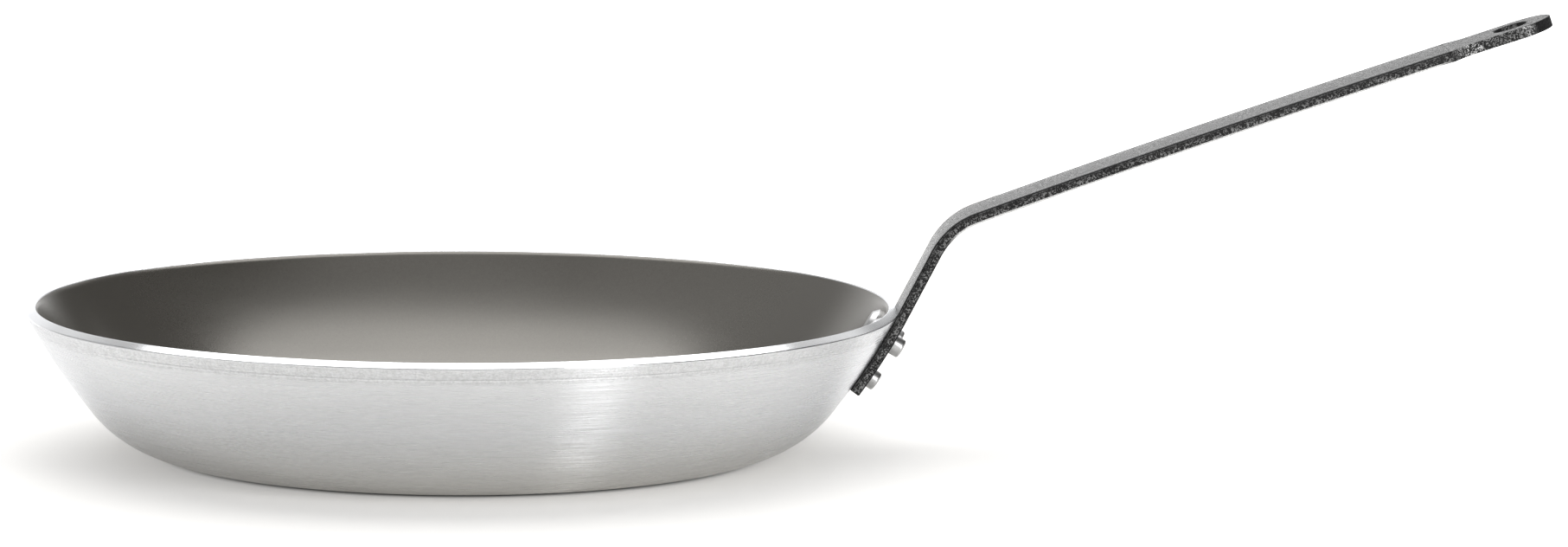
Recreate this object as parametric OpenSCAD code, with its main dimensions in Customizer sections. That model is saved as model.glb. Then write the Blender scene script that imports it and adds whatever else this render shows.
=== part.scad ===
// Omelette pan: pressed shell, lining, strap handle and three rivets.
// Frame: origin at the centre of the base on the table, +X along the handle, +Z up, sizes in mm.

/* [Pan body] */
// Outer diameter of the rim
rim_d = 320; // [280:1:400]
// Sheet thickness of the shell
wall_t = 4; // [3:0.25:5]
// Height of the rim's outer corner above the table
rim_h = 52.4; // [48:0.2:70]
// Radius of the flat base
base_r = 102.4; // [80:0.2:110]
// Outside radius of the turn from base to wall
turn_r = 43.5; // [30:0.5:50]
// Bow of the wall: angle between it and a straight line, at both its ends
wall_bow = 5.92; // [2:0.02:9]

/* [Lining] */
// Thickness of the lining
lining_t = 0.3; // [0.2:0.05:0.5]

/* [Handle] */
// Width of the bar
bar_w = 32; // [28:0.5:38]
// Thickness of the bar
bar_t = 4; // [3:0.25:5]
// Length of the foot along the wall, below the rim
foot_l = 32.5; // [31:0.5:38]
// Depth of the flat seat pressed into the wall for the foot
seat_d = 0.9; // [0.6:0.1:1.2]
// Room beside and below the foot in its seat
seat_gap = 0.1; // [0.05:0.05:0.3]
// Straight length above the rim, up to the bend
riser_l = 26.5; // [18:0.5:40]
// Radius of the bend on the underside
bend_r = 25.5; // [15:0.5:40]
// Slope of the shank where it leaves the bend
shank_slope = 20.3; // [10:0.1:35]
// Drop in slope along the shank
shank_arch = 1.8; // [0.5:0.1:6]
// Length of the shank
shank_l = 182; // [130:1:230]

/* [Tongue] */
// Length of the tongue beyond the shank
tongue_l = 39.5; // [36:0.5:50]
// Width at the neck of the tongue
neck_w = 25; // [22:0.5:26]
// Diameter of the round end
tip_d = 26.5; // [24:0.5:28]
// Length of the sloping shoulders
shoulder_l = 6; // [3:0.5:8]
// Diameter of the hanging hole
hang_d = 12.5; // [8:0.5:15]
// Centre of the hanging hole from the tip
hang_inset = 15; // [13:0.5:17]

/* [Rivets] */
// Diameter of the rivet shanks
rivet_d = 5; // [4:0.1:5.6]
// Room around a rivet shank in its holes, on the diameter
rivet_play = 0.1; // [0.05:0.05:0.3]
// Distance between the two upper rivets
rivet_gauge = 23; // [18:0.5:23]
// Upper rivets below the rim, along the wall
rivet_top_drop = 10.5; // [9:0.5:12]
// Step from the upper rivets down to the lower one
rivet_step = 15.8; // [12:0.2:16]
// Diameter of the outer heads
tail_d = 7.2; // [6.2:0.1:8]
// Height of the outer heads
tail_h = 3.9; // [2:0.1:5]
// Edge radius of the outer heads
tail_edge_r = 1; // [0.3:0.1:1.2]
// Diameter of the inner heads
head_d = 12.4; // [10:0.2:13]
// Height of the inner heads
head_h = 3.7; // [2.2:0.1:4]
// Width of the bevel round the inner heads
head_bevel = 2; // [0.8:0.1:2.4]
// Depth of the flat seat under each inner head
head_seat_d = 0.1; // [0.05:0.05:0.3]
// Room round an inner head in its flat seat
head_gap = 0.2; // [0.1:0.05:0.4]

/* [Hidden] */
$fn = 96;
large_fn = 360; // sides of the large circles of shell and lining
reach = 20; // overlap of cutting shapes beyond the metal
lap = 0.05; // overlap that fuses one stretch of a piece to the next
rim_r = rim_d / 2;
degrees = 180 / PI;
// The wall's arc leaves the turn smoothly and ends at the rim's outer corner
rim_corner = [rim_r, rim_h];
turn_c = [base_r, turn_r];
sight = rim_corner - turn_c;
turn_slope = atan2(sight[1], sight[0]) - wall_bow + asin(turn_r * cos(wall_bow) / norm(sight));
turn_end = turn_c + turn_r * across(turn_slope);
wall_r = norm(rim_corner - turn_end) / (2 * sin(wall_bow));
wall_c = turn_end - wall_r * across(turn_slope);
rim_slope = turn_slope + 2 * wall_bow;
// Straight steps that the foot, the bend and the shank are drawn in
foot_steps = 8;
bend_steps = 16;
shank_steps = 12;
// The foot lies on an arc about the wall's own centre
foot_r = wall_r - seat_d;
foot_slope = rim_slope - foot_l / foot_r * degrees;
shank_r = shank_l / shank_arch * degrees;
tongue_slope = shank_slope - shank_arch;
upper_slope = rim_slope - rivet_top_drop / foot_r * degrees;
lower_slope = upper_slope - rivet_step / foot_r * degrees;
// Top face of the bar at the rim, at the ends of the riser and the bend, and at the shoulder
rim_p = wall_c + foot_r * across(rim_slope);
bend_p = rim_p + riser_l * along(rim_slope);
bend_c = bend_p + (bend_r + bar_t) * across(rim_slope);
shank_p = bend_c - (bend_r + bar_t) * across(shank_slope);
shank_c = shank_p + shank_r * across(shank_slope);
tongue_p = shank_c - shank_r * across(tongue_slope);
hole_d = rivet_d + rivet_play;
// Metal that a rivet grips between its two heads, from the flat seat of one to the bar's outer face
grip = bar_t + wall_t - seat_d - head_seat_d;

// Unit vector along a line of this slope, and the one square to it that points down and out
function along(s) = [cos(s), sin(s)];
function across(s) = [sin(s), -cos(s)];

// Part of a flat ring about c, between two polar angles
module ring_part(c, r_in, r_out, a0, a1) {
    far = r_out / cos((a1 - a0) / 2) + reach;
    translate(c)
        intersection() {
            difference() {
                circle(r = r_out, $fn = large_fn);
                circle(r = r_in, $fn = large_fn);
            }
            polygon([[0, 0], far * along(a0), far * along(a1)]);
        }
}

// Half section of a shell between two depths below the outside surface
module shell_section(d0, d1) {
    translate([0, d0])
        square([base_r, d1 - d0]);
    ring_part(turn_c, turn_r - d1, turn_r - d0, -90, turn_slope - 90 + lap / turn_r * degrees);
    ring_part(wall_c, wall_r - d1, wall_r - d0, turn_slope - 90, rim_slope - 90);
}

// Points on an arc about c, between two polar angles
function arc(c, r, a0, a1, n) = [for (i = [0:n]) c + r * along(a0 + (a1 - a0) * i / n)];

// The foot's line on its seat, and the whole bar's line at a depth below its top face
function foot_line(depth) = arc(wall_c, foot_r + depth, foot_slope - 90, rim_slope - 90, foot_steps);
function bar_line(depth) = concat(
    foot_line(depth),
    arc(bend_c, bend_r + bar_t - depth, rim_slope + 90, shank_slope + 90, bend_steps),
    [for (i = [1:shank_steps])
        shank_c + (shank_r - depth) * along(shank_slope + 90 - shank_arch * i / shank_steps)],
    [tongue_p + (tongue_l + reach / 2) * along(tongue_slope) + depth * across(tongue_slope)]
);
function backwards(points) = [for (i = [len(points) - 1:-1:0]) points[i]];

// Side outline of the bar from its foot to a little past its tip
module bar_side() {
    polygon(concat(bar_line(0), backwards(bar_line(bar_t))));
}

// Side outline of the seat that the foot lies in, open outwards and past the rim
module seat_side() {
    low = foot_line(0)[0] - seat_gap * along(foot_slope);
    high = rim_p + reach / 2 * along(rim_slope);
    polygon(concat(
        [low + reach / 2 * across(foot_slope), low],
        foot_line(0),
        [high, high + reach / 2 * across(rim_slope)]
    ));
}

// Stands a side outline up in the plane of the handle, this wide
module upright(w) {
    rotate([90, 0, 0])
        linear_extrude(height = w, center = true)
            children();
}

// Local frame on the bar: x along it at this slope, z square to its top face
module on_bar(p, slope) {
    translate([p[0], 0, p[1]])
        rotate([0, -slope, 0])
            children();
}

// Local frame of a rivet: origin on the foot's seat, z out through the bar
module on_rivet(slope, y) {
    translate([wall_c[0], y, wall_c[1]])
        rotate([0, 180 - slope, 0])
            translate([0, 0, foot_r])
                children();
}

// The three rivet places
module each_rivet() {
    for (side = [-1, 1])
        on_rivet(upper_slope, side * rivet_gauge / 2)
            children();
    on_rivet(lower_slope, 0)
        children();
}

// Flat seat under an inner head, open towards the inside of the pan
module head_seat() {
    translate([0, 0, bar_t - grip - reach])
        cylinder(d = head_d + 2 * head_gap, h = reach);
}

module rivet_hole() {
    translate([0, 0, -reach / 2])
        cylinder(d = hole_d, h = reach);
}

module pan_body() {
    color([0.80, 0.80, 0.81])
        difference() {
            rotate_extrude($fn = large_fn)
                shell_section(0, wall_t);
            upright(bar_w + 2 * seat_gap)
                seat_side();
            each_rivet()
                rivet_hole();
            each_rivet()
                head_seat();
        }
}

module nonstick_coating() {
    color([0.30, 0.30, 0.30])
        difference() {
            rotate_extrude($fn = large_fn)
                shell_section(wall_t, wall_t + lining_t);
            each_rivet()
                head_seat();
        }
}

// Outline of the tongue in plan, from the shank's end at x = 0
module tongue_outline() {
    polygon([
        [0, -bar_w / 2 - lap],
        [shoulder_l, -neck_w / 2],
        [tongue_l - tip_d / 2, -tip_d / 2],
        [tongue_l - tip_d / 2, tip_d / 2],
        [shoulder_l, neck_w / 2],
        [0, bar_w / 2 + lap]
    ]);
    translate([tongue_l - tip_d / 2, 0])
        circle(d = tip_d);
}

module handle() {
    color([0.22, 0.22, 0.22])
        difference() {
            upright(bar_w)
                bar_side();
            on_bar(tongue_p, tongue_slope) {
                translate([0, 0, -bar_t - reach / 2])
                    linear_extrude(height = bar_t + reach)
                        difference() {
                            translate([0, -bar_w])
                                square([tongue_l + reach, 2 * bar_w]);
                            tongue_outline();
                        }
                translate([tongue_l - hang_inset, 0, -bar_t - reach / 2])
                    cylinder(d = hang_d, h = bar_t + reach);
            }
            each_rivet()
                rivet_hole();
        }
}

// One rivet about z: inner head at the bottom, outer head at the top
module rivet() {
    color([0.66, 0.66, 0.67])
        translate([0, 0, bar_t - grip])
            rotate_extrude() {
                polygon([
                    [0, -head_h],
                    [head_d / 2 - head_bevel, -head_h],
                    [head_d / 2, -head_h / 2],
                    [head_d / 2, 0],
                    [rivet_d / 2, 0],
                    [rivet_d / 2, grip],
                    [0, grip]
                ]);
                translate([0, grip])
                    square([tail_d / 2 - tail_edge_r, tail_h]);
                translate([0, grip])
                    square([tail_d / 2, tail_h - tail_edge_r]);
                translate([tail_d / 2 - tail_edge_r, grip + tail_h - tail_edge_r])
                    circle(r = tail_edge_r);
            }
}

module rivet_upper_left() {
    on_rivet(upper_slope, rivet_gauge / 2)
        rivet();
}

module rivet_upper_right() {
    on_rivet(upper_slope, -rivet_gauge / 2)
        rivet();
}

module rivet_lower() {
    on_rivet(lower_slope, 0)
        rivet();
}

pan_body();
nonstick_coating();
handle();
rivet_upper_left();
rivet_upper_right();
rivet_lower();
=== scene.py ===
import math
import bpy
import numpy as np
from mathutils import Matrix, Vector


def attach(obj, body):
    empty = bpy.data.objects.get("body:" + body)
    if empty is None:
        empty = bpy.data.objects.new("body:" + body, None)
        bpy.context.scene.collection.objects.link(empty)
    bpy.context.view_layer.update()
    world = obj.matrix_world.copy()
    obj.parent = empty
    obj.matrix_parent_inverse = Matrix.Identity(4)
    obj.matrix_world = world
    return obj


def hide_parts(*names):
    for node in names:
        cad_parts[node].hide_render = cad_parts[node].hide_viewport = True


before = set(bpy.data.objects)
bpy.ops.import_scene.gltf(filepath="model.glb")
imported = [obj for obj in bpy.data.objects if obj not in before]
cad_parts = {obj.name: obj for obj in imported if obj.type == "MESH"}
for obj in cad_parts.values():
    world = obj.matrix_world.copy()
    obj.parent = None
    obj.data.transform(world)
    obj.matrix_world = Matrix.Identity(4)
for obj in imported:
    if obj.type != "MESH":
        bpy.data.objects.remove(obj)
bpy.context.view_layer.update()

# Sizes in metres and angles in degrees, the same as the construction's
RIM_R, RIM_H, WALL_T = 0.160, 0.0524, 0.004
BASE_R, TURN_R, WALL_BOW = 0.1024, 0.0435, 5.92
LINING_T = 0.0003
BAR_W, BAR_T = 0.032, 0.004
FOOT_L, SEAT_D, RISER_L, BEND_R = 0.0325, 0.0009, 0.0265, 0.0255
SHANK_SLOPE, SHANK_ARCH, SHANK_L = 20.3, 1.8, 0.182
TONGUE_L, NECK_W, TIP_D, SHOULDER_L = 0.0395, 0.025, 0.0265, 0.006
HANG_D, HANG_INSET = 0.0125, 0.015
RIVET_D, RIVET_GAUGE, RIVET_DROP, RIVET_STEP = 0.005, 0.023, 0.0105, 0.0158
TAIL_D, TAIL_H, TAIL_EDGE = 0.0072, 0.0039, 0.001
HEAD_D, HEAD_H, HEAD_BEVEL, HEAD_SEAT = 0.0124, 0.0037, 0.002, 0.0001
GRIP = BAR_T + WALL_T - SEAT_D - HEAD_SEAT

# Fine shapes that only the visible pieces have, in metres
RIM_EDGE_OUT, RIM_EDGE_IN, CUT_NEAR = 0.0005, 0.0004, 0.00012
LAND_L, LINE_D, LINE_W = 0.0050, 0.0002, 0.00035  # turned land below the rim and the line under it
STEP_SHARE, STEP_L, STEP_FADE = 0.6, 0.0012, 0.008  # the wall below that line lies a little deeper
LINING_SINK = 0.00002  # the lining reaches this far into the shell
LINING_STOP, LINING_TAPER = 0.00055, 0.0006  # it ends this far below the rim and thins out there
LINING_LEAST = 0.02  # smallest part of that taper, so that its end has some thickness
SEAT_CLEAR, SEAT_SIDE = 0.00003, 0.0012  # room behind the foot, and beside it
SEAT_FROM = 0.1  # only the wall beyond this x is pressed
SEAT_FADE_START, SEAT_FADE_L = 0.006, 0.005  # the press fades over a stretch below the foot
BAR_EDGE = 0.0009
FOOT_EASE_AT, FOOT_EASE_IN = [0, 0.00006, 0.0002, 0.0004], [0.0004, 0.00019, 0.00006, 0]
FOOT_EASE_END = 0.0008
TONGUE_LAP, NECK_TAPER_L, NECK_FLARE = 0.0004, 0.008, 0.0001
TONGUE_EDGE, EDGE_MIDDLE = 0.00022, 0.3  # size of its rounded edges, and where their middle lies
CROWN_H, BEVEL_FOOT, BEVEL_ROUND, HEAD_ROUND = 0.00012, 0.45, 0.0005, 0.00045
RIVET_EASE = 0.0001
CUT_SPAN, TAIL_FLAT = (0.3, 0.8), 0.8  # shares of the cut, and of the tail's flat, that get points

# How finely the pieces are divided
SHELL_TURNS, LINING_TURNS, RIVET_TURNS = 400, 384, 72
HUB_R, FINE_L = 0.004, 0.0085  # innermost ring of the base; finely divided wall below the rim
SHELL_BASE, SHELL_TURN, SHELL_WALL, SHELL_FINE = 13, 40, 41, 46
SHELL_INSIDE, SHELL_INNER_TURN, RIM_OUT_STEPS, RIM_IN_STEPS, CUT_POINTS = 40, 16, 8, 5, 5
LINING_BASE, LINING_TURN, LINING_WALL = 20, 30, 50
EDGE_POINTS, FOOT_POINTS, RISER_POINTS, BEND_POINTS, SHANK_POINTS = 7, 16, 8, 26, 90
TONGUE_RAYS, TONGUE_SPREAD = 360, 8
CROWN_POINTS, HEAD_STEPS, TAIL_STEPS, TAIL_POINTS = 12, 5, 8, 5
FLOOR_STEPS = 96

# Colours and roughness of the finishes. A pair runs with its pattern, from low to high
# The turn's pair is painted shade: darker and warmer, for the shaded floor that it mirrors
TURN_SHADE_TINTS = (0.66, 0.65, 0.625), (0.75, 0.74, 0.715)
WALL_TINTS = (0.845, 0.852, 0.867), (0.91, 0.918, 0.935)
SPECK_TINT, RIM_TINT = (0.66, 0.665, 0.67), (0.97, 0.975, 0.98)
ALUMINIUM_ROUGH, RIM_ROUGH = (0.20, 0.36), 0.24
LINING_TINTS, LINING_ROUGH = ((0.062, 0.058, 0.051), (0.080, 0.075, 0.066)), (0.215, 0.245)
# The sides' light flecks are partly the coating's grain and partly painted glints
SIDE_FLECK_GLINT_TINTS = (0.001, 0.001, 0.001), (0.24, 0.24, 0.24)
# The darkest of these colours also paints shade on the bar's rounded edges
TOP_TINTS = (0.003, 0.003, 0.0035), (0.17, 0.17, 0.171)
WORN_TINT, COATING_ROUGH, EDGE_ROUGH = (0.92, 0.92, 0.92), (0.34, 0.22), 0.7
RIVET_TINTS, RIVET_ROUGH = ((0.50, 0.50, 0.50), (0.62, 0.62, 0.62)), (0.30, 0.42)
# The floor's first colour is a painted contact shadow, in a ring at the base's edge
SHADOW_AND_FLOOR_TINTS = (0.30, 0.295, 0.285), (0.87, 0.858, 0.835)

# Patterns: the radius's share in a ring's place, the bands for each line, and the scale and share
# of the grain's two noises. Then the levels of a pattern between which its marks come in.
RING_LEAN, BAND_SCALE, GRAIN_NOISES = 0.45, 0.06, ((1.0, 0.65), (0.37, 0.35))
STREAKS, LINE_LEVELS, BAND_LEVELS = (0.25, 0.70), (0.33, 0.67), (0.3, 0.7)
# The flecks' levels set the light flecks on the bar's sides, partly painted glints
FLECK_GLINT_LEVELS, WORN_GRAIN = (0.58, 0.84), (0.55, 0.90)

# Where the finishes change, in metres: along the shell's section from its rim's cut face, up the
# turn where its painted shade fades, and outwards from the base's edge where the floor's painted
# shadow ends
RIM_LAP, RIM_FADE = 0.0002, 0.00015
SPECKS_FAR, SPECKS_NEAR, SPECKS_FADE = 0.0062, 0.0010, 0.0012
TURN_SHADE_Z = 0.003, 0.027
# Over the first stretch the floor's painted contact shadow fades out, over the second its lift
# comes in
CONTACT_SHADOW_PAINT, CONTACT_LIFT = (0.003, 0.0085), (0.004, 0.011)

# Wear on the handle, in metres: on the shank after the bend's start and before its own end, on the
# tongue past the shoulder, and how far from the middle the tongue's round end is worn.
WEAR_AFTER, WEAR_BEFORE, WEAR_FADE = 0.012, 0.006, 0.006
PATCH, PATCH_FADE, ROUND_END_Y = (0.001, 0.005), 0.003, (0.008, 0.009)

# How much of the normal points sideways: on the bar's sides, its rounded edges, the worn part of
# the round end and the worn lower edges
SIDE_NORMAL, EDGE_NORMAL, EDGE_NORMAL_FADE = (0.95, 0.99), (0.10, 0.85), 0.05
ROUND_END_NORMAL, ROUND_END_FADE, LOWER_EDGE_NORMAL = (0.91, 0.975), 0.012, (0.03, 0.12)

# Lengths round the bar's section, from where its top face ends on one side: its two lower edges,
# and the middle of its underside with how far from that the upper part of each side begins, whose
# flecks are thinned as painted shade
LOWER_EDGES, LOWER_FADE = ((0.0039, 0.0052), (0.0351, 0.0364)), 0.0002
UNDERSIDE_MIDDLE, UPPER_SIDE_SHADE = 0.02015, (0.0178, 0.0188)

# Strengths of the studio's lights, where the world's 1 is white
FLOOR_LIFT, FLOOR_SHEEN = 0.29, 0.14
BACKDROP, FAR_FLOOR, FRONT, LEFT_SIDE, SIDES = 0.94, 1.0, 0.44, 0.4, 0.03
OVERHEAD_LAMP, STRIP_LAMP = 17.6, 4.5

# Parts of a direction's unit vector between which those levels come in. LEAN_X and NARROWING_X are
# the shares of x that turn the low backdrop aside and narrow the high one.
LOW_BEHIND_Y, LEAN_X = (0.78, 0.98), 0.2
HIGH_BEHIND_Y, NARROWING_X, HIGH_BEHIND_Z = (0.42, 0.62), 0.5, (0.27, 0.42)
FRONT_Y, FRONT_Z = (-0.75, -0.2), (0.25, 0.72)
LEFT_X, LEFT_Z = (-0.8, -0.4), (0.0, 0.2)
FAR_FLOOR_Z = -0.02, 0.12

# Lamps: place, point that they face, and size. Floor: centre and rings. All in metres
OVERHEAD_PLACE = (0.0, 0.44, 1.1), (0.0, 0.44, 0.0), (1.86, 1.70)
STRIP_PLACE = (0.667, -0.886, 0.38), (0.0, 0.0, 0.05), (0.25, 0.72)
FLOOR_CENTRE, FLOOR_RADII = (0.10, 0.15, -0.00002), (0.15, 0.3, 0.45, 0.6, 0.7)

# Camera, solved from the rim's ellipse, the base line and the handle: degrees and metres, then the
# focal length and the pixel of the pan's axis in pixels of the 1813 x 632 picture
AZIMUTH, ELEVATION, ROLL = 3.0, 7.79, 0.45
DISTANCE, AIM_Z = 2.2293, 0.045
FOCAL, AXIS_U, AXIS_V = 7000.0, 536.05, 378.36
PIC_W, PIC_H = 1813.0, 632.0
SENSOR_W = 36.0


def along(slope):
    """Unit vector in the handle's plane at a slope in degrees: (cos, sin)."""
    a = np.radians(slope)
    return np.stack([np.cos(a), np.sin(a)], -1)


def across(slope):
    """Unit vector square to that slope, pointing down and out: (sin, -cos)."""
    a = np.radians(slope)
    return np.stack([np.sin(a), -np.cos(a)], -1)


# Lines of the pan and the bar in the handle's plane, as (x, z): _c is a centre, _r a radius and _p
# the start of a stretch. The wall's arc leaves the turn smoothly and ends at the rim's outer
# corner.
turn_c = np.array([BASE_R, TURN_R])
sight = np.array([RIM_R, RIM_H]) - turn_c
turn_share = TURN_R * math.cos(math.radians(WALL_BOW)) / np.hypot(*sight)
turn_slope = (math.degrees(math.atan2(sight[1], sight[0])) - WALL_BOW
              + math.degrees(math.asin(turn_share)))
turn_end = turn_c + TURN_R * across(turn_slope)
wall_chord = np.hypot(RIM_R - turn_end[0], RIM_H - turn_end[1])
wall_r = wall_chord / (2 * math.sin(math.radians(WALL_BOW)))
wall_c = turn_end - wall_r * across(turn_slope)
rim_slope = turn_slope + 2 * WALL_BOW
foot_r = wall_r - SEAT_D
foot_slope = rim_slope - math.degrees(FOOT_L / foot_r)
upper_slope = rim_slope - math.degrees(RIVET_DROP / foot_r)
lower_slope = upper_slope - math.degrees(RIVET_STEP / foot_r)
shank_r = SHANK_L / math.radians(SHANK_ARCH)
tongue_slope = SHANK_SLOPE - SHANK_ARCH
rim_p = wall_c + foot_r * across(rim_slope)
bend_p = rim_p + RISER_L * along(rim_slope)
bend_c = bend_p + (BEND_R + BAR_T) * across(rim_slope)
shank_p = bend_c - (BEND_R + BAR_T) * across(SHANK_SLOPE)
shank_c = shank_p + shank_r * across(SHANK_SLOPE)
tongue_p = shank_c - shank_r * across(tongue_slope)


# Meshes
def run_length(line):
    """Length along a line of points, from 0 at its first point."""
    return np.concatenate([[0], np.cumsum(np.hypot(*np.diff(line, axis=0).T))])


def ring_quads(ids):
    """Quads between neighbouring rows of vertex numbers, where each row closes on itself."""
    beside = np.roll(ids, -1, axis=1)
    return np.stack([ids[:-1], ids[1:], beside[1:], beside[:-1]], -1).reshape(-1, 4)


def finish_mesh(name, verts, faces, uv=None, sharp=30):
    """Puts vertices and faces into an object, smooth but for edges over an angle in degrees. The
    optional map has one pair of lengths for each vertex."""
    mesh = bpy.data.meshes.new(name)
    mesh.from_pydata(verts.tolist(), [], faces)
    if uv is not None:
        loop_verts = np.empty(len(mesh.loops), np.int64)
        mesh.loops.foreach_get("vertex_index", loop_verts)
        pairs = uv.reshape(-1, 2)[loop_verts].astype(np.float32)
        mesh.uv_layers.new(name="UVMap").data.foreach_set("uv", pairs.ravel())
    mesh.shade_smooth()
    mesh.set_sharp_from_angle(angle=math.radians(sharp))
    piece = bpy.data.objects.new(name, mesh)
    bpy.context.scene.collection.objects.link(piece)
    return piece


def grid_mesh(name, points, uv, closed, sharp):
    """A mesh over a grid of points (rows, columns, 3) whose columns close on themselves. The rows
    close too, or the first and last row get a flat cap."""
    rows, cols = points.shape[:2]
    ids = np.arange(rows * cols).reshape(rows, cols)
    if closed:
        faces = ring_quads(np.concatenate([ids, ids[:1]])).tolist()
    else:
        faces = ring_quads(ids).tolist() + [ids[0].tolist(), ids[-1][::-1].tolist()]
    return finish_mesh(name, points.reshape(-1, 3), faces, uv, sharp)


def revolve(name, profile, turns, dent=None, sharp=35):
    """Carries a profile (n, 2) of radius and height once round Z: point(i, a) = (radius_i cos a,
    radius_i sin a, height_i). Its first and last points lie on the axis and close the ends. The map
    holds the share of a turn and the length along the profile. dent(points) presses the surface
    in."""
    theta = (np.arange(turns) + 0.5) * 2 * np.pi / turns
    ring = profile[1:-1]
    rows = len(ring)
    points = np.empty((rows, turns, 3))
    points[..., 0] = ring[:, 0, None] * np.cos(theta)
    points[..., 1] = ring[:, 0, None] * np.sin(theta)
    points[..., 2] = ring[:, 1, None]
    if dent is not None:
        points = dent(points)
    ids = np.arange(rows * turns).reshape(rows, turns)
    beside = np.roll(ids, -1, axis=1)
    low, high = rows * turns, rows * turns + 1
    faces = ring_quads(ids)[:, [0, 3, 2, 1]].tolist()  # turned over, to point outwards
    faces += np.stack([np.full(turns, low), beside[0], ids[0]], -1).tolist()
    faces += np.stack([np.full(turns, high), ids[-1], beside[-1]], -1).tolist()
    poles = [[0, 0, profile[0, 1]], [0, 0, profile[-1, 1]]]
    verts = np.concatenate([points.reshape(-1, 3), poles])
    length = run_length(profile)
    uv = np.zeros((len(verts), 2))
    uv[:low, 0] = np.tile(theta / (2 * np.pi), rows)
    uv[:low, 1] = np.repeat(length[1:-1], turns)
    uv[low:, 1] = length[[0, -1]]
    return finish_mesh(name, verts, faces, uv, sharp)


def arc(c, r, a0, a1, n):
    """n + 1 points on a circle of radius r about c, from polar angle a0 to a1 in degrees."""
    return c + r * along(np.linspace(a0, a1, n + 1))


def rounded(corner, before, after, r, n):
    """Replaces a corner by an arc of radius r that touches the lines to the points before and after
    it. The arc's centre lies on the line that halves the corner, r / sin(half the corner) away."""
    corner, before, after = map(np.asarray, (corner, before, after))
    u = (before - corner) / np.hypot(*(before - corner))
    v = (after - corner) / np.hypot(*(after - corner))
    half = math.acos(float(np.clip(u @ v, -1, 1))) / 2
    reach = r / math.tan(half)
    centre = corner + (u + v) / np.hypot(*(u + v)) * r / math.sin(half)
    a0 = math.degrees(math.atan2(*(corner + u * reach - centre)[::-1]))
    a1 = math.degrees(math.atan2(*(corner + v * reach - centre)[::-1]))
    a1 = a0 + (a1 - a0 + 180) % 360 - 180
    return arc(centre, r, a0, a1, n)


# Pan
def wall_angle(length):
    """Degrees of the wall's arc that a length along it takes up."""
    return math.degrees(length / wall_r)


def flat_base(height, points):
    """The flat base's line at one height, from the axis to the start of the turn."""
    radii = np.concatenate([[0], np.linspace(HUB_R, BASE_R, points)])
    return np.stack([radii, np.full(points + 1, height)], -1)


def rim_lengths(profile):
    """Lengths along the shell's section at which the rim's cut face starts and ends: of the points
    that lie near that face's plane, the first and the last."""
    cut = np.abs((profile - [RIM_R, RIM_H]) @ along(rim_slope)) < CUT_NEAR
    length = run_length(profile)
    return length[cut].min(), length[cut].max()


def shell_profile():
    """The shell's section. Outside: flat base, turn arc, and the bowed wall arc, moved in below the
    land by a fine line (a bell curve) and a step. Then the square cut of the rim with two rounded
    corners, and inside the same wall, turn and base one sheet's thickness further in."""
    upper = rim_slope - wall_angle(FINE_L)
    slopes = np.concatenate([np.linspace(turn_slope, upper, SHELL_WALL)[:-1],
                             np.linspace(upper, rim_slope, SHELL_FINE)])
    down = np.radians(rim_slope - slopes) * wall_r  # distance below the rim along the wall
    groove = (LINE_D * np.exp(-((down - LAND_L) / LINE_W) ** 2)
              + STEP_SHARE * LINE_D * np.clip((down - LAND_L) / STEP_L, 0, 1))
    groove *= np.clip((down.max() - down) / STEP_FADE, 0, 1)
    outside = wall_c + wall_r * across(slopes) - across(slopes) * groove[:, None]
    inner_slopes = np.linspace(rim_slope, turn_slope, SHELL_INSIDE)
    inside = wall_c + (wall_r - WALL_T) * across(inner_slopes)
    corner_out, corner_in = outside[-1], inside[0]
    base = flat_base(0.0, SHELL_BASE)
    return np.concatenate([
        base,
        arc(turn_c, TURN_R, -90, turn_slope - 90, SHELL_TURN)[1:-1],
        outside[down > RIM_EDGE_OUT * 1.2],  # the corner's arc takes over from here
        rounded(corner_out, outside[-12], corner_in, RIM_EDGE_OUT, RIM_OUT_STEPS),
        corner_out + (corner_in - corner_out) * np.linspace(*CUT_SPAN, CUT_POINTS)[:, None],
        rounded(corner_in, corner_out, inside[8], RIM_EDGE_IN, RIM_IN_STEPS),
        inside[2:],
        arc(turn_c, TURN_R - WALL_T, turn_slope - 90, -90, SHELL_INNER_TURN)[1:-1],
        base[::-1] + [0, WALL_T],
    ])


def seat_dent(points):
    """Presses the outside flat behind the handle's foot. In a strip a little wider than the bar, x
    is held to the foot's inner face, x(z) = wall_c.x + sqrt(foot_r^2 - (z - wall_c.z)^2), and the
    press fades smoothly below the foot."""
    x, y, z = points[..., 0], points[..., 1], points[..., 2]
    up = z - wall_c[1]
    face = wall_c[0] + np.sqrt(np.maximum(foot_r ** 2 - up ** 2, 0)) - SEAT_CLEAR
    outer = np.hypot(x, y) > wall_c[0] + np.sqrt((wall_r - WALL_T / 2) ** 2 - up ** 2)
    strip = (x > SEAT_FROM) & (np.abs(y) < BAR_W / 2 + SEAT_SIDE)
    foot_z = (wall_c + foot_r * across(foot_slope))[1]
    fade = np.clip((z - foot_z + SEAT_FADE_START) / SEAT_FADE_L, 0, 1)
    fade = fade * fade * (3 - 2 * fade)
    pressed = points.copy()
    pressed[..., 0] = x - np.where(outer & strip & (x > face), (x - face) * fade, 0)
    return pressed


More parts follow.
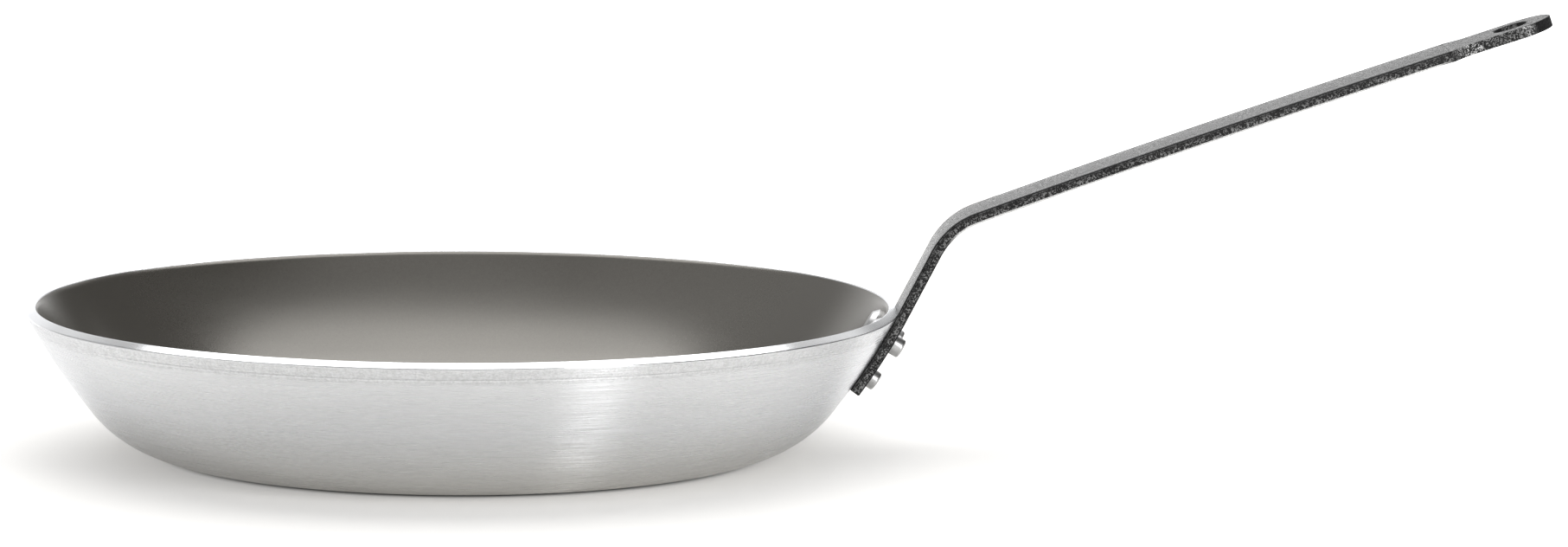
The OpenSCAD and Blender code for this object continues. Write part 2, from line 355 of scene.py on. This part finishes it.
def lining_profile():
    """The lining's section: the shell's inner line of base, turn and wall, back again one lining's
    thickness further in, thinning out to nothing at the rim's inner corner."""
    depth = WALL_T - LINING_SINK
    top = rim_slope - wall_angle(LINING_STOP)
    slopes = np.linspace(turn_slope, top, LINING_WALL)
    thin = np.clip((top - slopes) / wall_angle(LINING_TAPER), LINING_LEAST, 1)[:, None] ** 0.5
    inner = wall_c + (wall_r - depth - LINING_T * thin) * across(slopes)
    base = flat_base(depth, LINING_BASE)
    return np.concatenate([
        base,
        arc(turn_c, TURN_R - depth, -90, turn_slope - 90, LINING_TURN)[1:-1],
        wall_c + (wall_r - depth) * across(slopes),
        inner[::-1],
        arc(turn_c, TURN_R - depth - LINING_T, turn_slope - 90, -90, LINING_TURN)[1:-1],
        base[::-1] + [0, LINING_T],
    ])


shell = revolve("pressed_shell", shell_profile(), SHELL_TURNS, seat_dent)
lining = revolve("pan_lining", lining_profile(), LINING_TURNS)


# Handle
bar_ends = np.cumsum([FOOT_L, RISER_L,
                      math.radians(rim_slope - SHANK_SLOPE) * (BEND_R + BAR_T), SHANK_L])


def bar_line(s):
    """The bar's top face at lengths s from the foot's end: an arc on the wall, a straight riser,
    the bend and the long arched shank. On each arc the slope changes by length / radius. Returns
    the points and the slopes there."""
    foot, riser, bend = (s <= end for end in bar_ends[:3])
    slope = np.select(
        [foot, riser, bend],
        [foot_slope + np.degrees(s / foot_r), np.full_like(s, rim_slope),
         rim_slope - np.degrees((s - bar_ends[1]) / (BEND_R + BAR_T))],
        SHANK_SLOPE - np.degrees((s - bar_ends[2]) / shank_r))
    top = np.select(
        [foot[:, None], riser[:, None], bend[:, None]],
        [wall_c + foot_r * across(slope),
         rim_p + (s - bar_ends[0])[:, None] * along(rim_slope),
         bend_c - (BEND_R + BAR_T) * across(slope)],
        shank_c - shank_r * across(slope))
    return top, slope


def bar_section():
    """Rounded rectangle of the bar: each point is a corner centre plus the edge's radius times a
    unit direction, as (width, depth below the top). Returns the centres and the directions."""
    w, t = BAR_W / 2 - BAR_EDGE, BAR_T - BAR_EDGE
    corners = [[w, BAR_EDGE], [w, t], [-w, t], [-w, BAR_EDGE]]
    turns = [np.linspace(a, a + 90, EDGE_POINTS) for a in (-90, 0, 90, 180)]
    return np.repeat(corners, EDGE_POINTS, axis=0), along(np.concatenate(turns))


def make_bar():
    """The bar from its foot's end to the shoulder: point(s, j) = top(s) + depth_j *
    across(slope(s)), at width_j, where (width, depth) = centre_j + (edge - inset(s)) *
    direction_j, and the inset eases the foot's end. The map holds s and the length round the
    section."""
    s = np.concatenate([
        FOOT_EASE_AT, np.linspace(FOOT_EASE_END, bar_ends[0], FOOT_POINTS),
        np.linspace(bar_ends[0], bar_ends[1], RISER_POINTS)[1:],
        np.linspace(bar_ends[1], bar_ends[2], BEND_POINTS)[1:],
        np.linspace(bar_ends[2], bar_ends[3], SHANK_POINTS)[1:]])
    inset = np.zeros_like(s)
    inset[:len(FOOT_EASE_IN)] = FOOT_EASE_IN
    top, slope = bar_line(s)
    centres, directions = bar_section()
    section = centres + (BAR_EDGE - inset)[:, None, None] * directions
    flat = top[:, None] + section[..., 1:] * across(slope)[:, None]
    points = np.stack([flat[..., 0], section[..., 0], flat[..., 1]], -1)
    around = run_length(centres + BAR_EDGE * directions)
    uv = np.stack(np.broadcast_arrays(s[:, None], around[None, :]), -1)
    return grid_mesh("handle_bar", points, uv, closed=False, sharp=35)


def tongue_reach(rays, centre_x):
    """Distance from the hole's centre to the tongue's outline along unit rays: to the round end,
    or to the straight line that a ray crosses between two of the outline's corners."""
    tip = TONGUE_L - TIP_D / 2 - centre_x
    b = rays[:, 0] * tip
    reach = b + np.sqrt(np.maximum(b * b - tip ** 2 + (TIP_D / 2) ** 2, 0))
    corners = np.array([
        [TONGUE_L - TIP_D / 2, TIP_D / 2], [SHOULDER_L + NECK_TAPER_L, NECK_W / 2 + NECK_FLARE],
        [SHOULDER_L, NECK_W / 2], [0.0, BAR_W / 2],
        [-TONGUE_LAP, BAR_W / 2 - TONGUE_LAP], [-TONGUE_LAP, 0]]) - [centre_x, 0]
    up = np.stack([rays[:, 0], np.abs(rays[:, 1])], -1)
    near = 1e-9
    for p, q in zip(corners[:-1], corners[1:]):
        e = q - p
        det = up[:, 0] * -e[1] + up[:, 1] * e[0]
        with np.errstate(divide="ignore", invalid="ignore"):
            far = (p[0] * -e[1] + p[1] * e[0]) / det
            share = (up[:, 0] * p[1] - up[:, 1] * p[0]) / det
        hit = np.isfinite(far) & (far > 0) & (share >= -near) & (share <= 1 + near)
        reach = np.where(hit, far, reach)
    return reach


def make_tongue():
    """The flat end with its hanging hole. Rays from the hole's centre reach the outline, and the
    ring between the two is carried over the top, round the edge and back under: point = centre +
    radius * ray, where the radius is the hole's, the outline's, or a share of the way between."""
    centre_x = TONGUE_L - HANG_INSET
    phi = np.arange(TONGUE_RAYS) * 2 * np.pi / TONGUE_RAYS
    rays = np.stack([np.cos(phi), np.sin(phi)], -1)
    reach = tongue_reach(rays, centre_x)
    hole, soft, part = HANG_D / 2, TONGUE_EDGE, TONGUE_EDGE * EDGE_MIDDLE
    spread = np.linspace(0, 1, TONGUE_SPREAD)[1:-1]
    # Rows of (added radius, height, share of the way from hole to outline)
    rows = [(hole, -BAR_T / 2, 0), (hole, -soft, 0), (hole + part, -part, 0), (hole + soft, 0, 0)]
    rows += [(hole + soft, 0, share) for share in spread]
    rows += [(-soft, 0, 1), (-part, -part, 1), (0, -soft, 1), (0, -BAR_T / 2, 1),
             (0, -BAR_T + soft, 1), (-part, -BAR_T + part, 1), (-soft, -BAR_T, 1)]
    rows += [(hole + soft, -BAR_T, share) for share in spread[::-1]]
    rows += [(hole + soft, -BAR_T, 0), (hole + part, -BAR_T + part, 0), (hole, -BAR_T + soft, 0)]
    radius, height, share = (np.array(column, float)[:, None] for column in zip(*rows))
    between = (hole + soft) * (1 - share) + (reach - soft) * share
    radius = np.where(share == 0, radius, np.where(share == 1, reach + radius, between))
    x, y = centre_x + radius * rays[:, 0], radius * rays[:, 1]
    flat = tongue_p + x[..., None] * along(tongue_slope) - height[..., None] * across(tongue_slope)
    points = np.stack([flat[..., 0], y, flat[..., 1]], -1)
    return grid_mesh("handle_tongue", points, np.stack([x + SHANK_L, y], -1), closed=True, sharp=25)


bar = make_bar()
tongue = make_tongue()


# Rivets
def rivet_profile():
    """A rivet's section about its axis, from the inner head's crown, whose height falls with the
    square of the radius, over a rounded bevel, the head's side and the stem to the flat outer head
    with its rounded edge."""
    h = HEAD_D / 2
    crown_r = h - HEAD_BEVEL
    share = np.linspace(0, 1, CROWN_POINTS)
    crown = np.stack([share * crown_r, -HEAD_H + CROWN_H * share ** 2], -1)
    bevel_top = np.array([crown_r, -HEAD_H + CROWN_H])
    bevel_low = np.array([h, -HEAD_H * BEVEL_FOOT])
    tail_r, tail_top = TAIL_D / 2 - TAIL_EDGE, GRIP + TAIL_H
    return np.concatenate([
        crown[:-1],
        rounded(bevel_top, crown[-3], bevel_low, BEVEL_ROUND, HEAD_STEPS),
        rounded(bevel_low, bevel_top, [h, 0.0], HEAD_ROUND, HEAD_STEPS),
        [[h, -2 * RIVET_EASE], [h - RIVET_EASE, 0], [RIVET_D / 2, 0], [RIVET_D / 2, GRIP],
         [TAIL_D / 2 - RIVET_EASE, GRIP], [TAIL_D / 2, GRIP + RIVET_EASE]],
        arc(np.array([tail_r, tail_top - TAIL_EDGE]), TAIL_EDGE, 0, 90, TAIL_STEPS),
        np.stack([np.linspace(TAIL_FLAT, 0, TAIL_POINTS) * tail_r,
                  np.full(TAIL_POINTS, tail_top)], -1),
    ])


def place_rivet(piece, slope, y):
    """Turns a rivet made about Z onto its axis in the wall: its height runs square to the wall at
    this slope, and its own x runs down along the wall."""
    mesh = piece.data
    v = np.empty(len(mesh.vertices) * 3)
    mesh.vertices.foreach_get("co", v)
    v = v.reshape(-1, 3)
    depth = v[:, 2] + BAR_T - GRIP
    flat = wall_c + (foot_r + depth)[:, None] * across(slope) - v[:, :1] * along(slope)
    mesh.vertices.foreach_set("co", np.stack([flat[:, 0], y + v[:, 1], flat[:, 1]], -1).ravel())
    mesh.update()


rivets = {}
for name, slope, y in (("rivet_upper_left", upper_slope, RIVET_GAUGE / 2),
                       ("rivet_upper_right", upper_slope, -RIVET_GAUGE / 2),
                       ("rivet_lower", lower_slope, 0.0)):
    rivets[name] = revolve("turned_" + name, rivet_profile(), RIVET_TURNS, sharp=40)
    place_rivet(rivets[name], slope, y)

for piece in [shell, lining, bar, tongue] + list(rivets.values()):
    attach(piece, "root")
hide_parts("pan_body")
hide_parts("nonstick_coating")
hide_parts("handle")
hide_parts("handle")
for name, piece in rivets.items():
    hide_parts(name)


# Shader nodes
def feed(tree, socket, value):
    """Gives a socket its own value or colour, or links it to the socket that a value comes from."""
    if isinstance(value, bpy.types.NodeSocket):
        tree.links.new(value, socket)
    else:
        socket.default_value = (*value, 1) if isinstance(value, tuple) else value


def add(tree, kind, inputs=None, **settings):
    """Adds a node with its settings and with what its named sockets get."""
    node = tree.nodes.new(kind)
    for key, value in settings.items():
        setattr(node, key, value)
    for socket, value in (inputs or {}).items():
        feed(tree, node.inputs[socket], value)
    return node


def math_node(tree, operation, a, b=0.0, clamp=False):
    """One sum on two values or sockets."""
    node = add(tree, "ShaderNodeMath", operation=operation, use_clamp=clamp)
    feed(tree, node.inputs[0], a)
    feed(tree, node.inputs[1], b)
    return node.outputs[0]


def plus(tree, a, b):
    """a + b."""
    return math_node(tree, "ADD", a, b)


def minus(tree, a, b):
    """a - b."""
    return math_node(tree, "SUBTRACT", a, b)


def times(tree, a, b):
    """a * b."""
    return math_node(tree, "MULTIPLY", a, b)


def without_sign(tree, a):
    """a without its sign."""
    return math_node(tree, "ABSOLUTE", a)


def larger(tree, a, b):
    """The larger of a and b."""
    return math_node(tree, "MAXIMUM", a, b)


def vector_math(tree, operation, a, b=None):
    """One sum on vectors; SCALE takes a value as its second part, and LENGTH gives a value."""
    node = add(tree, "ShaderNodeVectorMath", {0: a}, operation=operation)
    if b is not None:
        feed(tree, node.inputs["Scale" if operation == "SCALE" else 1], b)
    return node.outputs["Value" if operation == "LENGTH" else "Vector"]


def xyz(tree, vector):
    """The three parts of a vector."""
    return add(tree, "ShaderNodeSeparateXYZ", {0: vector}).outputs


def ramp(tree, value, low, high, a=0.0, b=1.0):
    """Maps a value from low..high to a..b, clamped."""
    return add(tree, "ShaderNodeMapRange", {"Value": value, "From Min": low, "From Max": high,
                                            "To Min": a, "To Max": b}).outputs["Result"]


def band(tree, value, start, end, fade):
    """1 between two values and 0 outside, with soft ends."""
    return times(tree, ramp(tree, value, start - fade, start),
                 ramp(tree, value, end, end + fade, 1.0, 0.0))


def mixed(tree, mask, a, b, kind="FLOAT"):
    """a where the mask is 0 and b where it is 1; both are values, colours or sockets."""
    return add(tree, "ShaderNodeMix", {"Factor": mask, "A": a, "B": b},
               data_type=kind).outputs["Result"]


def tint(tree, mask, dark, light):
    """A colour: dark where the mask is 0 and light where it is 1."""
    return mixed(tree, mask, dark, light, "RGBA")


def group(name, inputs, outputs):
    """A shader node group that takes a vector and named values with defaults, and puts out named
    values. Returns the tree with its input sockets and its output node."""
    tree = bpy.data.node_groups.new(name, "ShaderNodeTree")
    tree.interface.new_socket(name="Vector", in_out="INPUT", socket_type="NodeSocketVector")
    for key, value in inputs.items():
        socket = tree.interface.new_socket(name=key, in_out="INPUT", socket_type="NodeSocketFloat")
        socket.default_value = value
    for key in outputs:
        tree.interface.new_socket(name=key, in_out="OUTPUT", socket_type="NodeSocketFloat")
    return tree, add(tree, "NodeGroupInput").outputs, add(tree, "NodeGroupOutput")


def make_rings():
    """Turning marks: noise that is stretched round the axis and fine along the section. Its place
    is height + a share of the radius, times the lines in a metre, with a slow wander round the
    axis. Both values vary about one half; the bands are broader."""
    tree, given, out = group("turning_rings", {"Lines": 3000.0, "Wander": 3.0}, ["Lines", "Bands"])
    x, y, z = xyz(tree, given["Vector"])
    flat = add(tree, "ShaderNodeCombineXYZ", {0: x, 1: y}).outputs[0]
    swing = vector_math(tree, "SCALE", vector_math(tree, "NORMALIZE", flat), given["Wander"])
    place = plus(tree, z, times(tree, vector_math(tree, "LENGTH", flat), RING_LEAN))
    for name, scale in (("Lines", 1.0), ("Bands", BAND_SCALE)):
        tall = times(tree, place, times(tree, given["Lines"], scale))
        tall = add(tree, "ShaderNodeCombineXYZ", {2: tall}).outputs[0]
        at = vector_math(tree, "ADD", tall, swing)
        noise = add(tree, "ShaderNodeTexNoise",
                    {"Vector": at, "Scale": 1.0, "Detail": 3.0, "Roughness": 0.6})
        feed(tree, out.inputs[name], noise.outputs["Fac"])
    return tree


def make_grain():
    """Fine speckle: two sizes of noise, added in shares and sharpened about the middle."""
    tree, given, out = group("fine_grain", {"Scale": 2500.0, "Contrast": 2.0}, ["Grain"])
    shares = []
    for scale, share in GRAIN_NOISES:
        noise = add(tree, "ShaderNodeTexNoise",
                    {"Vector": given["Vector"], "Scale": times(tree, given["Scale"], scale),
                     "Detail": 2.0, "Roughness": 0.6})
        shares.append(times(tree, noise.outputs["Fac"], share))
    sharp = times(tree, minus(tree, plus(tree, *shares), 0.5), given["Contrast"])
    feed(tree, out.inputs["Grain"], math_node(tree, "ADD", sharp, 0.5, clamp=True))
    return tree


def place_group(tree, made, coord, **values):
    """Places a group on the piece's own coordinates with its own values; returns its outputs."""
    node = tree.nodes.new("ShaderNodeGroup")
    node.node_tree = made
    feed(tree, node.inputs["Vector"], coord.outputs["Object"])
    for key, value in values.items():
        node.inputs[key].default_value = value
    return node.outputs


def bump(tree, shader, height, strength, distance):
    """Gives the shader a normal raised by a height."""
    node = add(tree, "ShaderNodeBump",
               {"Height": height, "Strength": strength, "Distance": distance})
    feed(tree, shader.inputs["Normal"], node.outputs[0])


def new_material(name, **plain):
    """A material with its node tree, shader and coordinates; plain values go on the shader's own
    sockets, with _ for a space in their names."""
    material = bpy.data.materials.new(name)
    material.use_nodes = True
    tree = material.node_tree
    shader = tree.nodes["Principled BSDF"]
    for key, value in plain.items():
        feed(tree, shader.inputs[key.replace("_", " ")], value)
    return material, tree, shader, add(tree, "ShaderNodeTexCoord")


rings, grain = make_rings(), make_grain()


# Finishes
def turned_aluminium():
    """Satin aluminium turned on a lathe. The tangent runs round the axis, so that a highlight is
    drawn out across the rings, which vary colour, roughness and bump. The cut rim is brighter and
    smooth, fine specks lie in a band below it, and the turn is painted darker and warmer than the
    wall, as painted shade for the shaded, warm floor that it mirrors."""
    material, tree, shader, coord = new_material(
        "turned_aluminium", Metallic=1.0, Specular_Tint=(0.92, 0.925, 0.94), Anisotropic=1.0,
        Anisotropic_Rotation=0.25)
    tangent = add(tree, "ShaderNodeTangent", direction_type="RADIAL", axis="Z")
    feed(tree, shader.inputs["Tangent"], tangent.outputs[0])
    start, end = rim_lengths(shell_profile())
    length = xyz(tree, coord.outputs["UV"])[1]
    rim = band(tree, length, start, end + RIM_LAP, RIM_FADE)
    near_rim = band(tree, length, start - SPECKS_FAR, start - SPECKS_NEAR, SPECKS_FADE)
    marks = place_group(tree, rings, coord, Lines=3200.0, Wander=5.0)
    specks = times(tree, place_group(tree, grain, coord, Scale=1200.0, Contrast=6.0)["Grain"],
                   near_rim)
    streaks = plus(tree, times(tree, marks["Lines"], 0.7), times(tree, marks["Bands"], 0.3))
    streaks = ramp(tree, streaks, *STREAKS)
    # Painted shade: the base colour turns darker and warmer down the turn, where the wall mirrors
    # shaded floor
    up = ramp(tree, xyz(tree, coord.outputs["Object"])[2], *TURN_SHADE_Z)
    metal = tint(tree, up, tint(tree, streaks, *TURN_SHADE_TINTS), tint(tree, streaks, *WALL_TINTS))
    metal = tint(tree, times(tree, specks, 0.55), metal, SPECK_TINT)
    feed(tree, shader.inputs["Base Color"], tint(tree, rim, metal, RIM_TINT))
    rough = ramp(tree, marks["Lines"], *LINE_LEVELS, *ALUMINIUM_ROUGH)
    feed(tree, shader.inputs["Roughness"], mixed(tree, rim, rough, RIM_ROUGH))
    height = plus(tree, marks["Lines"], times(tree, specks, 0.9))
    bump(tree, shader, mixed(tree, rim, height, 0.5), strength=0.10, distance=0.00012)
    return material


def lining_finish():
    """Dark non-stick lining: a fine grain in colour and bump, and broad turning bands that vary the
    roughness of its warm sheen."""
    material, tree, shader, coord = new_material(
        "dark_lining", IOR=1.85, Specular_Tint=(1.0, 0.965, 0.90), Specular_IOR_Level=0.86)
    speckle = place_group(tree, grain, coord, Scale=1800.0, Contrast=2.0)["Grain"]
    bands = place_group(tree, rings, coord, Lines=900.0, Wander=2.0)["Bands"]
    feed(tree, shader.inputs["Base Color"], tint(tree, speckle, *LINING_TINTS))
    feed(tree, shader.inputs["Roughness"], ramp(tree, bands, *BAND_LEVELS, *LINING_ROUGH))
    bump(tree, shader, speckle, strength=0.15, distance=0.00004)
    return material


def shank_wear(tree, s, around, sideways):
    """Wear along the shank's two lower edges, from inside the bend to near the shoulder."""
    edges = plus(tree, *(band(tree, around, *edge, LOWER_FADE) for edge in LOWER_EDGES))
    stretch = band(tree, s, bar_ends[1] + WEAR_AFTER, bar_ends[3] - WEAR_BEFORE, WEAR_FADE)
    return times(tree, times(tree, edges, stretch), ramp(tree, sideways, *LOWER_EDGE_NORMAL))


def tongue_wear(tree, s, around, sideways, side, speckle):
    """Worn sparkle on the tongue's sides: a short patch past the shoulder and the start of the
    round end, both broken up by the grain."""
    start = SHANK_L + SHOULDER_L
    patch = times(tree, band(tree, s, start + PATCH[0], start + PATCH[1], PATCH_FADE), side)
    outer = ramp(tree, without_sign(tree, around), *ROUND_END_Y)  # keeps it off the hole's wall
    curve = times(tree, band(tree, sideways, *ROUND_END_NORMAL, ROUND_END_FADE), outer)
    return times(tree, larger(tree, patch, curve), ramp(tree, speckle, *WORN_GRAIN, 0.0, 0.5))


def bar_finish(name, is_shank):
    """Dark coarse-grained coating. Its sides are near black with light flecks, partly the grain and
    partly painted glints, fewer in the upper part of the shank's, as painted shade. Top and
    underside have an even grain, and the edges between are plain, dark as painted shade, and
    rougher. Worn places show bare metal."""
    material, tree, shader, coord = new_material(name, IOR=1.43)
    speckle = place_group(tree, grain, coord, Scale=2100.0, Contrast=8.0)["Grain"]
    sideways = without_sign(tree, xyz(tree, coord.outputs["Normal"])[1])
    side = ramp(tree, sideways, *SIDE_NORMAL)
    edge = band(tree, sideways, *EDGE_NORMAL, EDGE_NORMAL_FADE)
    s, around, _ = xyz(tree, coord.outputs["UV"])
    # Light flecks on the sides: partly the coating's grain, partly painted glints
    flecks = ramp(tree, speckle, *FLECK_GLINT_LEVELS)
    if is_shank:
        # Painted shade: fewer light flecks on the upper part of each side of the shank
        from_middle = without_sign(tree, minus(tree, around, UNDERSIDE_MIDDLE))
        flecks = times(tree, flecks, ramp(tree, from_middle, *UPPER_SIDE_SHADE, 1.0, 0.2))
        wear = shank_wear(tree, s, around, sideways)
    else:
        wear = tongue_wear(tree, s, around, sideways, side, speckle)
    # Painted shade: the rounded edges lose the grain and keep the darkest colour
    top_grain_less_edge_shade = times(tree, speckle, minus(tree, 1.0, edge))
    dark = tint(tree, side, tint(tree, top_grain_less_edge_shade, *TOP_TINTS), tint(tree, flecks, *SIDE_FLECK_GLINT_TINTS))
    feed(tree, shader.inputs["Base Color"], tint(tree, wear, dark, WORN_TINT))
    feed(tree, shader.inputs["Metallic"], wear)
    rough = mixed(tree, edge, ramp(tree, speckle, 0.0, 1.0, *COATING_ROUGH), EDGE_ROUGH)
    feed(tree, shader.inputs["Roughness"], rough)
    bump(tree, shader, speckle, strength=0.8, distance=0.00030)
    return material


def rivet_finish():
    """Satin aluminium of the rivets: a fine grain in colour, roughness and bump."""
    material, tree, shader, coord = new_material("satin_rivet", Metallic=1.0)
    speckle = place_group(tree, grain, coord, Scale=1800.0, Contrast=2.0)["Grain"]
    feed(tree, shader.inputs["Base Color"], tint(tree, speckle, *RIVET_TINTS))
    feed(tree, shader.inputs["Roughness"], ramp(tree, speckle, 0.0, 1.0, *RIVET_ROUGH))
    bump(tree, shader, speckle, strength=0.2, distance=0.00005)
    return material


shell.data.materials.append(turned_aluminium())
lining.data.materials.append(lining_finish())
bar.data.materials.append(bar_finish("grained_dark_coating", True))
tongue.data.materials.append(bar_finish("grained_dark_coating_end", False))
rivet_metal = rivet_finish()
for piece in rivets.values():
    piece.data.materials.append(rivet_metal)


# Floor, light and camera
def make_floor():
    """A round pale floor: rings of points, centre + radius * (cos, sin), with a little more of it
    behind the pan than in front."""
    theta = np.arange(FLOOR_STEPS) * 2 * np.pi / FLOOR_STEPS
    radii, centre = np.array(FLOOR_RADII)[:, None], np.array(FLOOR_CENTRE)
    flat = np.zeros((len(radii), FLOOR_STEPS))
    points = np.stack([radii * np.cos(theta), radii * np.sin(theta), flat], -1) + centre
    ids = np.arange(flat.size).reshape(flat.shape)
    fan = np.stack([np.full(FLOOR_STEPS, flat.size), ids[0], np.roll(ids[0], -1)], -1)
    verts = np.concatenate([points.reshape(-1, 3), [centre]])
    return finish_mesh("floor", verts, ring_quads(ids).tolist() + fan.tolist())


def floor_finish():
    """Pale matt floor. Camera and mirror rays see it a little brighter, so that it runs into the
    white behind it. In a narrow ring at the base's edge its colour is darker, a painted contact
    shadow under the turn, and it has none of that lift there."""
    material, tree, shader, coord = new_material(
        "pale_floor", Roughness=0.7, Specular_IOR_Level=0.2)
    path = add(tree, "ShaderNodeLightPath").outputs
    lift = plus(tree, times(tree, path["Is Camera Ray"], FLOOR_LIFT),
                times(tree, path["Is Glossy Ray"], FLOOR_SHEEN))
    outside = minus(tree, vector_math(tree, "LENGTH", coord.outputs["Object"]), BASE_R)
    # Painted contact shadow: the floor's colour is darker in a ring at the base's edge
    past_painted_shadow = ramp(tree, outside, *CONTACT_SHADOW_PAINT)
    feed(tree, shader.inputs["Base Color"], tint(tree, past_painted_shadow, *SHADOW_AND_FLOOR_TINTS))
    lift = times(tree, lift, ramp(tree, outside, *CONTACT_LIFT))
    glow = add(tree, "ShaderNodeEmission", {"Color": (1.0, 1.0, 1.0), "Strength": lift})
    total = add(tree, "ShaderNodeAddShader", {0: shader.outputs[0], 1: glow.outputs[0]})
    feed(tree, tree.nodes["Material Output"].inputs["Surface"], total.outputs[0])
    return material


floor = make_floor()
floor.data.materials.append(floor_finish())


def make_world():
    """The studio round the pan, as a level for each direction: a pale backdrop low behind and
    another higher up that narrows to the sides, a dimmer level high in front and on the left, white
    floor beyond the disc, and a faint level all round. Camera rays see plain white."""
    world = bpy.data.worlds.new("studio")
    bpy.context.scene.world = world
    world.use_nodes = True
    tree = world.node_tree
    x, y, z = xyz(tree, add(tree, "ShaderNodeTexCoord").outputs["Generated"])
    leaning = minus(tree, y, times(tree, x, LEAN_X))
    narrowed = minus(tree, y, times(tree, without_sign(tree, x), NARROWING_X))
    level = larger(tree, ramp(tree, leaning, *LOW_BEHIND_Y, 0.0, BACKDROP),
                   times(tree, ramp(tree, narrowed, *HIGH_BEHIND_Y, 0.0, BACKDROP),
                         ramp(tree, z, *HIGH_BEHIND_Z)))
    front = times(tree, ramp(tree, y, *FRONT_Y, FRONT, 0.0), ramp(tree, z, *FRONT_Z))
    left = times(tree, ramp(tree, x, *LEFT_X, LEFT_SIDE, 0.0), ramp(tree, z, *LEFT_Z))
    below = ramp(tree, z, *FAR_FLOOR_Z, FAR_FLOOR, 0.0)
    for part in (front, below, left, SIDES):
        level = plus(tree, level, part)
    path = add(tree, "ShaderNodeLightPath").outputs
    background = tree.nodes["Background"]
    feed(tree, background.inputs["Color"], (1.0, 1.0, 1.0))
    feed(tree, background.inputs["Strength"], larger(tree, level, path["Is Camera Ray"]))


make_world()


def panel(name, at, look, size, power, shape):
    """A soft flat lamp at a place, facing a point."""
    lamp = bpy.data.lights.new(name, "AREA")
    lamp.shape = shape
    lamp.size, lamp.size_y = size
    lamp.energy = power
    piece = bpy.data.objects.new(name, lamp)
    piece.location = at
    piece.rotation_euler = (Vector(look) - Vector(at)).to_track_quat("-Z", "Y").to_euler()
    bpy.context.scene.collection.objects.link(piece)


panel("overhead_lamp", *OVERHEAD_PLACE, OVERHEAD_LAMP, "ELLIPSE")
panel("front_right_lamp", *STRIP_PLACE, STRIP_LAMP, "RECTANGLE")


def set_camera():
    """Places the camera at its azimuth and elevation, a distance from a point on the pan's axis,
    and turns it, with its roll, so that this point falls on its pixel. The ray through the pixel,
    turned back by the roll, gives the tilt by its height and the heading by its sideways part."""
    azimuth, elevation, roll = map(math.radians, (AZIMUTH, ELEVATION, ROLL))
    back = np.array([math.sin(azimuth) * math.cos(elevation),
                     -math.cos(azimuth) * math.cos(elevation), math.sin(elevation)])
    place = np.array([0, 0, AIM_Z]) + back * DISTANCE
    cr, sr = math.cos(roll), math.sin(roll)
    ray = np.array([(AXIS_U - PIC_W / 2) / FOCAL, -(AXIS_V - PIC_H / 2) / FOCAL, -1.0])
    ray /= np.linalg.norm(ray)
    level = np.array([cr * ray[0] - sr * ray[1], sr * ray[0] + cr * ray[1], ray[2]])
    tilt = (math.asin(-back[2] / math.hypot(level[1], level[2]))
            - math.atan2(level[1], -level[2]))
    ahead = -level[2] * math.cos(tilt) - level[1] * math.sin(tilt)
    heading = math.atan2(-back[1], -back[0]) + math.atan2(level[0], ahead)
    forward = np.array([math.cos(heading) * math.cos(tilt), math.sin(heading) * math.cos(tilt),
                        math.sin(tilt)])
    right = np.array([math.sin(heading), -math.cos(heading), 0.0])
    up = np.cross(right, forward)
    right, up = cr * right + sr * up, -sr * right + cr * up
    data = bpy.data.cameras.new("camera")
    data.sensor_width = SENSOR_W
    data.lens = FOCAL / PIC_W * SENSOR_W
    data.clip_start, data.clip_end = 0.1, 50.0
    camera = bpy.data.objects.new("camera", data)
    turned = np.eye(4)
    turned[:3] = np.stack([right, up, -forward, place], -1)
    camera.matrix_world = Matrix(turned.tolist())
    bpy.context.scene.collection.objects.link(camera)
    bpy.context.scene.camera = camera


set_camera()
bpy.context.scene.view_settings.view_transform = "Standard"
